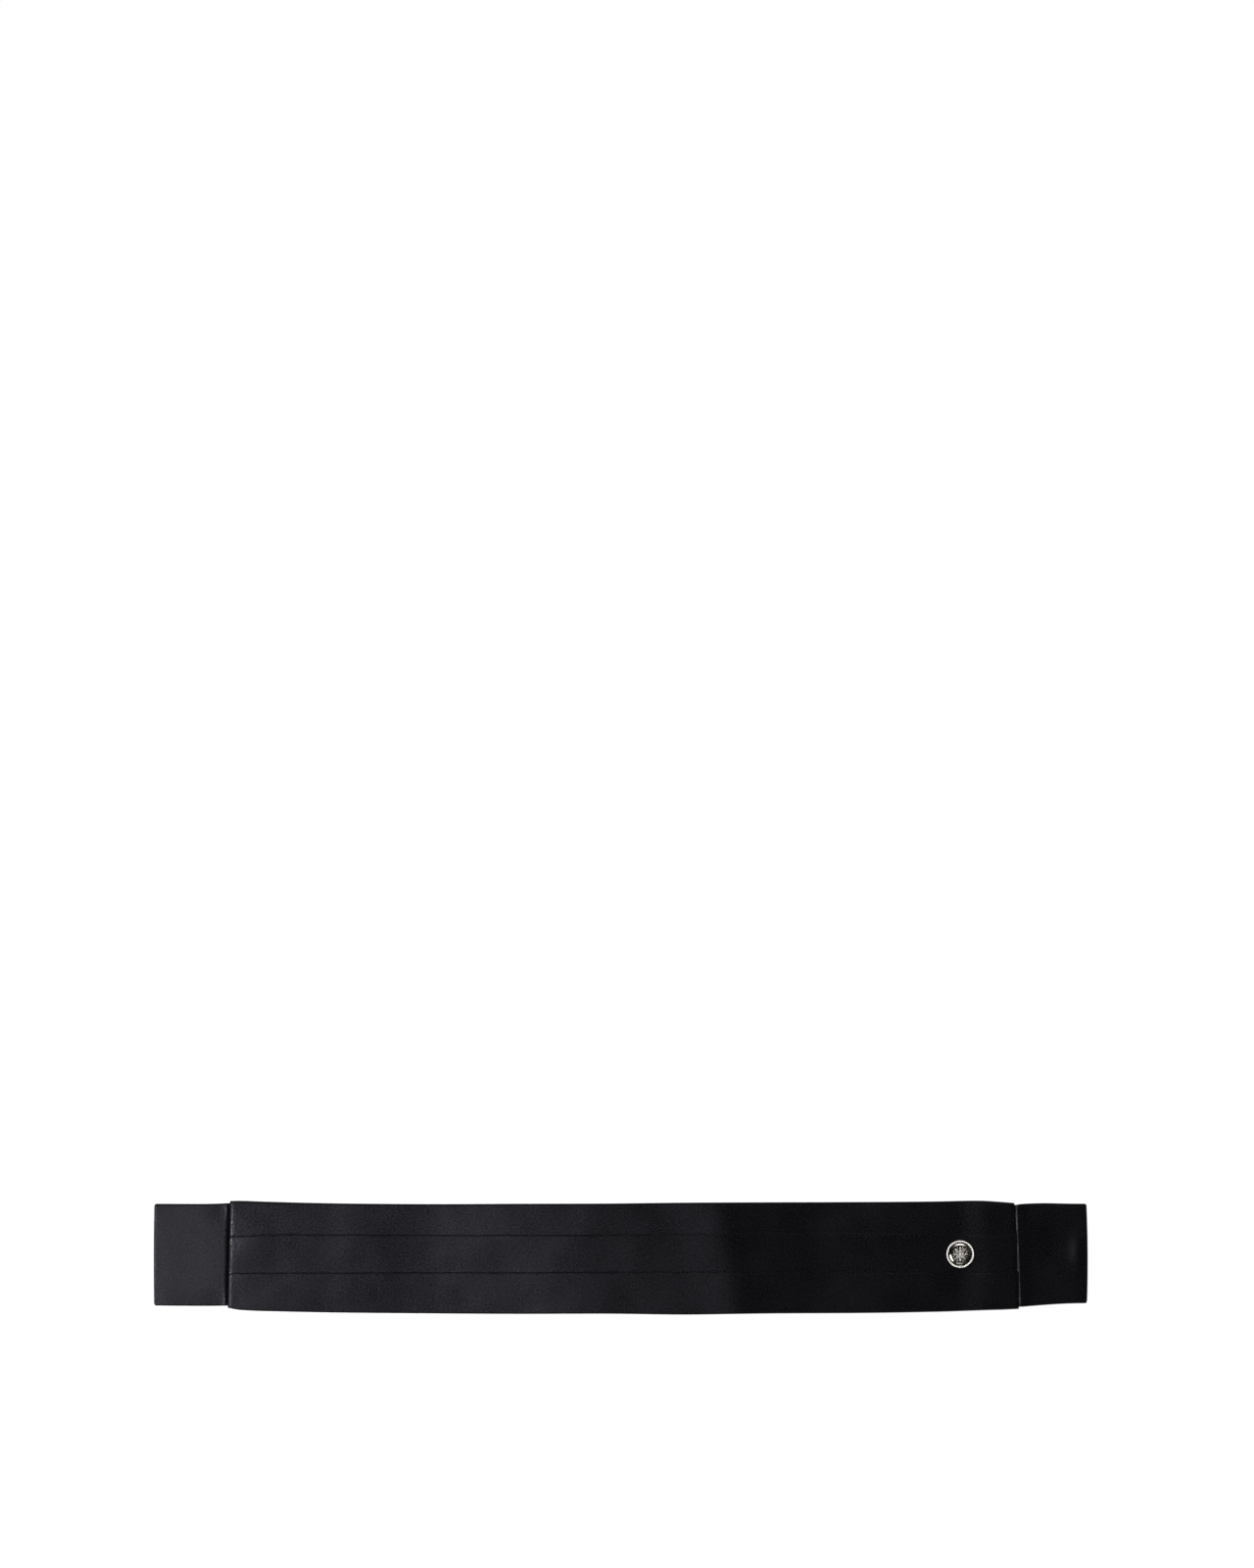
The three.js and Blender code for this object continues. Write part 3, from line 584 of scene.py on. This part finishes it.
bandShapes = {
    "left": {
        **leftBand,
        "end": leftEnd,
        "rows": [
            dict(out=0, top=0, bottom=0),
            dict(out=0.3, top=-0.008, bottom=-0.002),
            dict(out=1, top=-0.007, bottom=0.001),
        ],
        # heights of the middle of the cloth, by the distance past the panel's end
        "heights": [
            dict(out=0, height=3.05),
            dict(out=0.7, height=3.12),
            dict(out=1.9, height=3.7),
            dict(out=3, height=3.95),
            dict(out=5, height=4.0),
            dict(out=16, height=3.85),
            dict(out=34, height=3.5),
            dict(out=52, height=3.2),
            dict(out=58.5, height=3.1),
        ],
        "swells": [
            dict(along=0.08, across=0.44, rise=-0.5, long=0.18, wide=0.12),
            dict(along=0.1, across=-0.46, rise=-0.5, long=0.24, wide=0.12),
            dict(along=0.93, across=-0.1, rise=-0.12, long=0.08, wide=0.2),
            dict(along=0.8, across=-0.5, rise=0.3, long=0.2, wide=0.1),
        ],
        "bow": 0.5,
    },
    "right": {
        **rightBand,
        "end": rightEnd,
        "rows": [
            dict(out=0, top=0, bottom=0),
            dict(out=0.1, top=0.012, bottom=0.003),
            dict(out=0.4, top=0.019, bottom=0.018),
            dict(out=0.7, top=0.015, bottom=0.031),
            dict(out=1, top=0.013, bottom=0.035),
        ],
        "heights": [
            dict(out=0, height=3.05),
            dict(out=0.4, height=3.7),
            dict(out=0.9, height=4.75),
            dict(out=2.2, height=5.4),
            dict(out=2.6, height=5.4),
            dict(out=4.3, height=4.75),
            dict(out=7, height=4.1),
            dict(out=11, height=3.65),
            dict(out=16, height=3.5),
            dict(out=30, height=3.35),
            dict(out=48, height=3.15),
            dict(out=54.5, height=3.05),
        ],
        "swells": [
            dict(along=0.86, across=0.02, rise=1.1, long=0.09, wide=0.14),
            dict(along=0.25, across=0.34, rise=0.4, long=0.2, wide=0.1),
            dict(along=0.5, across=0.0, rise=-0.5, long=0.22, wide=0.25),
            dict(along=0.6, across=-0.45, rise=0.5, long=0.5, wide=0.14),
        ],
        "bow": 1.0,
    },
}


def bandRun(shape):
    # out is the distance past the panel's end, and facing turns from up to down round the fold
    radius = (bands["foldInside"] + bands["cloth"]) / 2
    foldStart = shape["reach"] - radius - bands["cloth"] / 2
    foldMiddle = bands["cloth"] / 2 + radius
    lean = math.atan(bands["foldSlope"])
    start = dict(out=foldStart + radius * math.sin(lean), height=foldMiddle + radius * math.cos(lean))
    heightOf = columnOf(shape["heights"] + [start], "out", "height")
    run = []
    for deep in (panel["bandInsert"], 9, 4, 1, 0):
        run.append(dict(out=-deep, z=heightOf(0), facing=0, part="inside"))
    outs = [bands["ridgeStep"] * i for i in range(1, bands["ridgeRings"] + 1)]
    outs += [mix(bands["ridgeClear"], start["out"] - bands["ridgeStep"], i / 24) for i in range(25)]
    for out in outs:
        run.append(dict(out=out, z=heightOf(out), facing=0, part="shown"))
    for i in range(13):
        angle = mix(lean, math.pi, i / 13)
        out, z = foldStart + radius * math.sin(angle), foldMiddle + radius * math.cos(angle)
        run.append(dict(out=out, z=z, facing=angle, part="fold"))
    lies = bands["cloth"] / 2 + bands["offTable"]
    for i in range(19):
        share = i / 18
        out = mix(foldStart, -shape["returns"] + bands["shortOfTip"], share)
        run.append(dict(out=out, z=lies, facing=math.pi, part="return", share=share))
    return run


def bandRings(shape):
    section = sectionAt(shape["end"])
    entryTop = section["top"] - panel["wall"] - bands["edge"]
    entryBottom = section["bottom"] + panel["wall"] + bands["edge"]
    width = entryTop - entryBottom
    topOf = columnOf(shape["rows"], "out", "top")
    bottomOf = columnOf(shape["rows"], "out", "bottom")
    foldTop, foldBottom = entryTop + topOf(1) * width, entryBottom + bottomOf(1) * width
    foldMiddle = (foldTop + foldBottom) / 2
    rings = []
    for at in bandRun(shape):
        share = max(0, at["out"]) / shape["reach"]
        top, bottom = entryTop + topOf(share) * width, entryBottom + bottomOf(share) * width
        lean = section["lean"] * (1 - min(1, share / bands["leanEnds"]))
        if at["part"] == "inside":
            top += at["out"] / panel["bandInsert"] * bands["edge"]
            bottom -= at["out"] / panel["bandInsert"] * bands["edge"]
        if at["part"] == "fold":
            inset = bands["foldCorner"] * math.sin(at["facing"]) ** 2
            top, bottom = foldTop - inset, foldBottom + inset
        if at["part"] == "return":
            top = mix(foldTop, foldMiddle + shape["tipWidth"] / 2, at["share"])
            bottom = mix(foldBottom, foldMiddle - shape["tipWidth"] / 2, at["share"])
            lean = 0
        flare = bands["foldFlare"] * ease(share, *bands["flareStarts"]) * max(0, math.cos(at["facing"]))
        held = ease(share, *bands["swellStarts"]) * (1 - ease(share, *bands["swellEnds"]))
        bowed = shape["bow"] * ease(at["out"], bands["bowStarts"], shape["reach"])
        ring = []
        for i in range(bands["across"]):
            across = i / (bands["across"] - 1) - 0.5
            y = mix(bottom, top, across + 0.5)
            z = at["z"] + flare * (abs(across) * 2) ** 6
            if at["part"] == "shown":
                z += swellOf(shape["swells"], share, across) * held
            out = at["out"]
            if at["part"] != "return":
                out += bowed * max(0, 1 - ((across - bands["bowMiddle"]) / bands["bowHalf"]) ** 2)
            ring.append(Vector((shape["end"] + shape["sign"] * out + lean * y, y + panelMiddle, z)))
        rings.append(ring)
    return rings


def makeBand(side):
    shape = bandShapes[side]
    rings = bandRings(shape)
    arcs = lengthsAlong(rings[0])
    runs = lengthsAlong([ring[bands["across"] // 2] for ring in rings])
    piece = sweep(side + "SatinBand", rings, False, arcs, runs)
    thicken(piece, bands["cloth"])
    piece.data.materials.append(bandSatin)
    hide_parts(side + "_band")
    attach(piece, "root")
    print(side, "band:", round(runs[-1]), "mm long,", round(arcs[-1]), "mm wide at the panel")
    area = sum(face.area for face in piece.data.polygons)
    return piece, arcs[-1] * mm, runs[-1] * mm, area


# Button

buttonLook = {
    "shoulder": 0.3,  # how far the wall leans in below the rim
    "rim": 1.15,
    "rimHeight": 2.8,
    "rimSlope": 38,  # in degrees
    "rimFlat": 0.04,  # half the width of the flat between its two slopes
    "rimSunk": 0.1,
    "groove": 1.2,
    "grooveDepth": 1.1,
    "bezel": 1.9,
    "bezelHeight": 3.2,
    "field": 2.5,  # height of the enamel at its edge
    "floorSunk": 0.4,  # the metal beneath the enamel
    "crown": 0.35,
    "crownSunk": 0.3,  # the enamel's edge below the raised ring in the CAD model
    "petals": 8,
    "boss": 1.15,
    "bossTall": 1.15,
    "petalWide": 0.44,
    "petalTall": 0.75,
    "petalGap": 0.5,  # from a petal's middle line to each of its two ribs
    "petalInset": 0.7,  # from the petals' tips to the raised ring
    "petalMiddle": 0.15,  # above the enamel's edge
    "bead": (0.55, 0.55, 0.7),
    "beadInset": 0.5,  # from the petals' tips
    "stem": (1.0, 0.2, 0.45),
    "stemInset": 2.3,
    "beadMiddle": 0.1,
    "sharp": 24,
}
buttonBack = [(0, 0.02), (0.78, 0.02), (0.95, 0.5), (1, 1.3)]  # shares of the radius, and heights
shellLow, shellHigh = boxOf("button_shell")
buttonMiddle = (shellLow + shellHigh) / 2
buttonRadius = (shellHigh.x - shellLow.x) / 2
enamelTop = boxOf("button_enamel")[1].z
buttonSeat = enamelTop - (buttonLook["bezelHeight"] - buttonLook["crownSunk"] + buttonLook["crown"])


def latheInto(bm, profile, steps):
    # a profile of radii and heights, spun once round the button's middle
    verts = [bm.verts.new((radius, 0, height)) for radius, height in profile]
    edges = [bm.edges.new(pair) for pair in zip(verts, verts[1:])]
    bmesh.ops.spin(bm, geom=verts + edges, cent=(0, 0, 0), axis=(0, 0, 1), angle=math.tau,
                   steps=steps, use_merge=True)
    weld = 0.002
    bmesh.ops.remove_doubles(bm, verts=bm.verts, dist=weld)
    bmesh.ops.recalc_face_normals(bm, faces=bm.faces)


def bumpInto(bm, size, place, angle, segments=24, rings=12):
    # a smooth oval dome, the lower half of it sunk in the field
    made = bmesh.ops.create_uvsphere(bm, u_segments=segments, v_segments=rings, radius=1)["verts"]
    bmesh.ops.scale(bm, vec=size, verts=made)
    bmesh.ops.translate(bm, vec=place, verts=made)
    bmesh.ops.rotate(bm, cent=(0, 0, 0), matrix=Matrix.Rotation(angle, 3, "Z"), verts=made)


def seatPiece(name, bm, material, node):
    for face in bm.faces:
        face.smooth = True
    bmesh.ops.translate(bm, vec=(buttonMiddle.x, buttonMiddle.y, buttonSeat), verts=bm.verts)
    piece = finishPiece(name, bm)
    piece.data.materials.append(material)
    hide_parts(node)
    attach(piece, "root")
    return piece


def makeButton():
    look = buttonLook
    rimRadius = buttonRadius - look["shoulder"]
    grooveOuter = rimRadius - look["rim"]
    bezelOuter = grooveOuter - look["groove"]
    fieldRadius = bezelOuter - look["bezel"]
    floor = look["field"] - look["floorSunk"]
    profile = [(buttonRadius * share, height) for share, height in buttonBack]

    # the rim: two slopes up to a narrow flat, with close rings at each end of a slope
    half, slope = look["rim"] / 2, math.tan(math.radians(look["rimSlope"]))
    outerRings = (0.03, 0.06, half - 0.06, half - 0.02)
    innerRings = (half + 0.02, half + 0.06, 2 * half - 0.06, 2 * half - 0.03)
    for inward in outerRings + innerRings:
        below = max(abs(inward - half) - look["rimFlat"], 0) * slope
        profile.append((rimRadius - inward, look["rimHeight"] - look["rimSunk"] - below))

    # the groove, the raised ring and the field inside it
    groove = look["rimHeight"] - look["grooveDepth"]
    crest = look["bezelHeight"]
    profile += [
        (grooveOuter, groove),
        (bezelOuter, groove),
        (bezelOuter - 0.05, crest - 0.85),
        (bezelOuter - 0.15, crest - 0.63),
        (fieldRadius + 0.5, crest - 0.06),
        (fieldRadius + 0.4, crest - 0.02),
        (fieldRadius + 0.25, crest),
        (fieldRadius + 0.1, crest - 0.04),
        (fieldRadius, crest - 0.2),
        (fieldRadius, floor),
        (0, floor),
    ]
    bm = bmesh.new()
    latheInto(bm, profile, 96)
    for edge in bm.edges:
        edge.smooth = edge.calc_face_angle(0) < math.radians(look["sharp"])

    # the rosette: a boss, petals of two ribs each, and a bead on a stem between every two petals
    tips = fieldRadius - look["petalInset"]
    petalHalf = (tips - look["boss"]) / 2
    petalSize = (petalHalf, look["petalWide"], look["petalTall"])
    high, low = look["field"] + look["petalMiddle"], look["field"] + look["beadMiddle"]
    bumpInto(bm, (look["boss"], look["boss"], look["bossTall"]), (0, 0, high), 0, segments=32, rings=16)
    for i in range(look["petals"]):
        angle = math.tau * i / look["petals"]
        for sideways in (-look["petalGap"], look["petalGap"]):
            bumpInto(bm, petalSize, (tips - petalHalf, sideways, high), angle)
        between = angle + math.pi / look["petals"]
        for size, inset in ((look["bead"], look["beadInset"]), (look["stem"], look["stemInset"])):
            bumpInto(bm, size, (tips - inset, 0, low), between, segments=16, rings=8)
    casting = seatPiece("buttonCasting", bm, silver, "button_shell")

    bm = bmesh.new()
    domeRadius, domeRings = fieldRadius - 0.02, 8
    dome = [(0, floor + 0.05), (domeRadius, floor + 0.05)]
    for i in range(domeRings + 1):
        share = 1 - i / domeRings
        dome.append((domeRadius * share, look["field"] + look["crown"] * (1 - share ** 2)))
    latheInto(bm, dome, 64)
    enamelField = seatPiece("buttonEnamelField", bm, enamel, "button_enamel")
    print("button:", len(casting.data.polygons), "faces in its casting")
    return casting, enamelField


# Stage

def areaLight(name, middle, aim, size, power, spread=180, color=(1, 1, 1)):
    data = bpy.data.lights.new(name, "AREA")
    data.shape = "RECTANGLE"
    data.size, data.size_y = size
    data.energy = power
    data.spread = math.radians(spread)
    data.color = color
    lamp = bpy.data.objects.new(name, data)
    lamp.location = middle
    lamp.rotation_euler = (Vector(middle) - Vector(aim)).to_track_quat("Z", "Y").to_euler()
    lamp.visible_camera = False
    bpy.context.scene.collection.objects.link(lamp)
    return lamp


buttonTent = {
    "away": 1.0,
    "panels": 12,
    "elevation": 14,  # in degrees, where the rim's slopes look
    "tall": 0.28,
    "power": 1.25,
    "cards": [  # where the raised ring's slope looks
        dict(name="buttonTopCard", azimuth=92, elevation=43, size=(1.9, 0.13), power=1.1),
        dict(name="buttonLeftCard", azimuth=208, elevation=43, size=(0.5, 0.26), power=0.9),
        dict(name="buttonLowCard", azimuth=268, elevation=43, size=(0.4, 0.1), power=0.08),
    ],
}


def seenBy(name, pieces):
    # a collection for a lamp that lights these pieces alone
    chosen = bpy.data.collections.new(name)
    for piece in pieces:
        chosen.objects.link(piece)
    return chosen


def unseenBy(name, pieces):
    # and one for a lamp that lights all but these
    spared = seenBy(name, pieces)
    for member in spared.collection_objects:
        member.light_linking.link_state = "EXCLUDE"
    return spared


def lightButton(pieces):
    # a ring of white cards that only the button sees, as a macro tent is set round it
    look = buttonTent
    onlyButton = seenBy("onlyButton", pieces)

    def card(name, azimuth, elevation, size, power):
        azimuth, elevation = math.radians(azimuth), math.radians(elevation)
        flat = math.cos(elevation)
        way = Vector((math.cos(azimuth) * flat, math.sin(azimuth) * flat, math.sin(elevation)))
        middle = buttonMiddle * mm
        lamp = areaLight(name, middle + way * look["away"], middle, size, power)
        lamp.light_linking.receiver_collection = onlyButton

    size = (math.tau * look["away"] / look["panels"], look["tall"])
    for i in range(look["panels"]):
        card("buttonCard%02d" % i, 360 * i / look["panels"], look["elevation"], size, look["power"])
    for row in look["cards"]:
        card(**row)


table = {
    "half": 20000,
    "below": 0.05,  # keeps it clear of the cloth's underside
    "white": (0.9, 0.9, 0.9),
    "roughness": 0.9,
    "specular": 0.1,
    "glow": 0.95,
}


def makeTable():
    bm = bmesh.new()
    bmesh.ops.create_grid(bm, x_segments=1, y_segments=1, size=table["half"])
    bmesh.ops.translate(bm, vec=(0, 0, -table["below"]), verts=bm.verts)
    piece = finishPiece("whiteTable", bm)
    made, shader = newMaterial("whiteTable", table["white"], table["roughness"])[:2]
    shader.inputs["Specular IOR Level"].default_value = table["specular"]
    shader.inputs["Emission Color"].default_value = (1, 1, 1, 1)
    shader.inputs["Emission Strength"].default_value = table["glow"]
    piece.data.materials.append(made)
    piece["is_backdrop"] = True


def makeCamera():
    perPixel = photo["millimetresAPixel"] * mm
    away = photo["lens"] / photo["sensor"] * photo["height"] * perPixel
    data = bpy.data.cameras.new("camera")
    data.lens = photo["lens"]
    data.sensor_width = photo["sensor"]
    data.clip_end = 100
    camera = bpy.data.objects.new("camera", data)
    camera.location = (
        (photo["width"] / 2 - photo["middleX"]) * perPixel,
        (photo["middleY"] - photo["height"] / 2) * perPixel,
        away,
    )
    bpy.context.scene.collection.objects.link(camera)
    bpy.context.scene.camera = camera


# a white wall all round, a panel of light above the sash's upper edge, and dark overhead
tent = {
    "wall": 0.2,
    "overhead": 0.001,
    "wallFades": (0.3, 0.6),  # directions, from the horizon at 0 to straight up at 1
    "upperPanel": 0.02,
    "panelSide": (0.3, 0.55),
    "panelFoot": (0.35, 0.48),
    "panelTop": (0.65, 0.78),
}


def makeWorld():
    world = bpy.data.worlds.new("tent")
    bpy.context.scene.world = world
    world.use_nodes = True
    tree = world.node_tree
    link = tree.links.new
    direction = addNode(tree, "ShaderNodeTexCoord")
    split = addNode(tree, "ShaderNodeSeparateXYZ")
    link(direction.outputs["Generated"], split.inputs["Vector"])

    def ramp(axis, low, high, atLow, atHigh):
        return mapRange(tree, split.outputs[axis], low, high, atLow, atHigh, "SMOOTHSTEP")

    def both(operation, first, second):
        made = addNode(tree, "ShaderNodeMath", operation=operation)
        link(first, made.inputs[0])
        link(second, made.inputs[1])
        return made.outputs[0]

    wall = ramp("Z", *tent["wallFades"], tent["wall"], tent["overhead"])
    side = ramp("Y", *tent["panelSide"], 0, tent["upperPanel"])
    upper = both("MULTIPLY", side, ramp("Z", *tent["panelTop"], 1, 0))
    upper = both("MULTIPLY", upper, ramp("Z", *tent["panelFoot"], 0, 1))
    background = tree.nodes["Background"]
    background.inputs["Color"].default_value = (1, 1, 1, 1)
    link(both("ADD", wall, upper), background.inputs["Strength"])


satin = satinMaterial("satin", satinLook)
bandLook = {**satinLook, "speckleDepth": 0.00006, "slubEdges": (0.34, 0.76)}  # a smoother satin
bandSatin = satinMaterial("bandSatin", bandLook)
silver = wornMaterial("silverPlate", silverLook)
enamel = wornMaterial("blackEnamel", enamelLook)
claspSteel = wornMaterial("claspSteel", claspLook)
for node in ("hook", "bar"):
    dressNode(node, claspSteel)

makeCamera()
makeTable()
makeWorld()
bpy.context.scene.view_settings.view_transform = "Standard"
beamTint = (0.97, 0.96, 1.04)
studioLamps = [  # places in metres, spreads in degrees
    dict(name="leftBeam", middle=(-0.557, -0.06, 1.0), aim=(-0.187, 0, 0), size=(0.3, 0.515),
         power=0.062, spread=1.6, color=beamTint),
    dict(name="leftGlow", middle=(-0.625, -0.06, 1.0), aim=(-0.255, 0, 0), size=(0.3, 0.41),
         power=0.07, spread=6.5, color=beamTint),
    dict(name="rightBeam", middle=(-0.35, 0.15, 1.15), aim=(0.27, 0, 0), size=(0.3, 0.4),
         power=0.05, spread=6, color=beamTint),
    dict(name="ridgeLight", middle=(-0.56, -0.04, 0.62), aim=(0.344, -0.01, 0), size=(0.1, 0.006),
         power=0.0011, spread=1),
    dict(name="rightFill", middle=(1.1, 0.1, 1.2), aim=(0.2, 0, 0), size=(0.6, 0.6), power=0.15),
    dict(name="fill", middle=(0.1, 0.85, 1.7), aim=(0.1, 0, 0), size=(1.6, 0.5), power=0.65),
    dict(name="lowFill", middle=(0.1, -0.85, 1.7), aim=(0.1, 0, 0), size=(1.6, 0.5), power=0.87),
]
lamps = {row["name"]: areaLight(**row) for row in studioLamps}
print("stage ready")

satinPanel, panelWide = makePanel()
leftPiece, leftWide, leftLong, leftArea = makeBand("left")
rightPiece, rightWide, rightLong, rightArea = makeBand("right")
buttonPieces = makeButton()
lightButton(buttonPieces)
lamps["ridgeLight"].light_linking.receiver_collection = seenBy("onlyRightBand", [rightPiece])
lamps["rightBeam"].light_linking.receiver_collection = unseenBy("notTheButton", buttonPieces)

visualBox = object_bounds()
for name, box in (("cad box", cadBox), ("visual box", visualBox)):
    print(name, [[round(v, 4) for v in corner] for corner in box])
